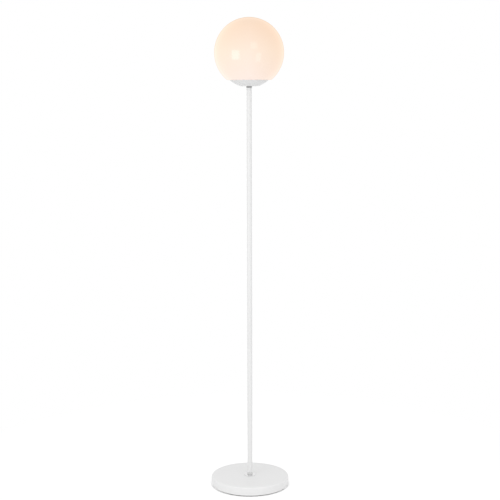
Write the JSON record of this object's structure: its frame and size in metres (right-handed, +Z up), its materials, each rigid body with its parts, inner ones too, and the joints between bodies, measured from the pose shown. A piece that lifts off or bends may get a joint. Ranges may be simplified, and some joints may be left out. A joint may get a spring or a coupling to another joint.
{
  "type": "globe floor lamp",
  "caption": "Floor lamp with a round weighted base, a thin straight pole and an opal glass globe on a shallow cup.",
  "frame": {"origin": "centre of the base's underside, on the floor", "axes": "+Z up along the pole, -Y to the front of the picture, +Y to the cable inlet, +X to the right of the picture"},
  "size_m": [0.25, 0.252, 1.4923],
  "materials": {
    "foam": "closed-cell foam, matt",
    "plate_steel": "thin white powder coat",
    "zinc_steel": "zinc plated, satin",
    "iron": "rough casting",
    "white_paint": "satin white powder coat",
    "cup_paint": "satin white powder coat",
    "gland_plastic": "moulded nylon",
    "block_plastic": "natural nylon",
    "brass": "plain",
    "chrome": "bright chrome plate",
    "dark_nickel": "dark nickel plate",
    "spring_steel": "bright spring strip",
    "silicone": "soft, translucent white",
    "opal_glass": "white opal glass, glossy, lit from inside",
    "holder_plastic": "white thermoplastic",
    "porcelain": "glazed steatite",
    "shell_metal": "nickel plated brass",
    "solder": "solder",
    "insulator_plastic": "black glass-filled plastic",
    "cap_metal": "pressed sheet",
    "bulb_plastic": "white moulding",
    "board_aluminium": "white solder mask",
    "frosted_cover": "frosted diffuser",
    "live_sleeve": "brown sleeve",
    "neutral_sleeve": "blue sleeve"
  },
  "bodies": {
    "stand": {"foot_pad": "foam", "bottom_plate": "plate_steel", "bottom_plate_screws": "zinc_steel", "base_weight": "iron", "base_cover": "white_paint", "cable_gland": "gland_plastic", "terminal_block": "block_plastic", "terminal_clamps": "brass", "terminal_screws": "zinc_steel", "terminal_block_screw": "zinc_steel", "base_rod": "zinc_steel", "under_nut": "zinc_steel", "under_lock_washer": "zinc_steel", "under_washer": "zinc_steel", "foot_washer": "chrome", "foot_nut": "chrome", "pole_tube_lower": "white_paint", "pole_tube_middle": "white_paint", "pole_tube_upper": "white_paint", "pole_foot_insert": "zinc_steel", "lower_joint_inserts": "zinc_steel", "lower_joint_stud": "zinc_steel", "upper_joint_inserts": "zinc_steel", "upper_joint_stud": "zinc_steel", "pole_top_insert": "zinc_steel", "head_nipple": "zinc_steel", "collar_nut": "dark_nickel", "gallery_cup": "cup_paint", "spring_carrier": "zinc_steel", "globe_springs": "spring_steel", "spring_rivets": "zinc_steel", "cup_lock_washer": "zinc_steel", "cup_nut": "zinc_steel", "rim_gasket": "silicone", "lampholder_cap": "holder_plastic", "lampholder_grub_screw": "zinc_steel", "lampholder_insert": "porcelain", "holder_terminal_screws": "brass", "lampholder_shell": "holder_plastic", "screw_shell": "shell_metal", "centre_contact": "brass", "live_wire": "live_sleeve", "neutral_wire": "neutral_sleeve"},
    "globe": {"globe": "opal_glass"},
    "bulb_contact": {"bulb_tip": "solder"},
    "bulb": {"bulb_insulator": "insulator_plastic", "bulb_cap": "cap_metal", "bulb_housing": "bulb_plastic", "bulb_led_board": "board_aluminium", "bulb_dome": "frosted_cover"}
  },
  "joints": [
    {"name": "globe_lift", "type": "slide", "parent": "stand", "child": "globe", "axis": [0, 0, 1], "range_m": [0, 0.15]},
    {"name": "bulb_rise", "type": "slide", "parent": "stand", "child": "bulb_contact", "axis": [0, 0, 1], "range_m": [0, 0.01815]},
    {"name": "bulb_turn", "type": "hinge", "parent": "bulb_contact", "child": "bulb", "pos_m": [0, 0, 1.36], "axis": [0, 0, 1], "range_deg": [0, 1800]}
  ],
  "couplings": [
    {"joint": "bulb_rise", "follows": "bulb_turn", "m_per_rad": 0.00057751}
  ]
}
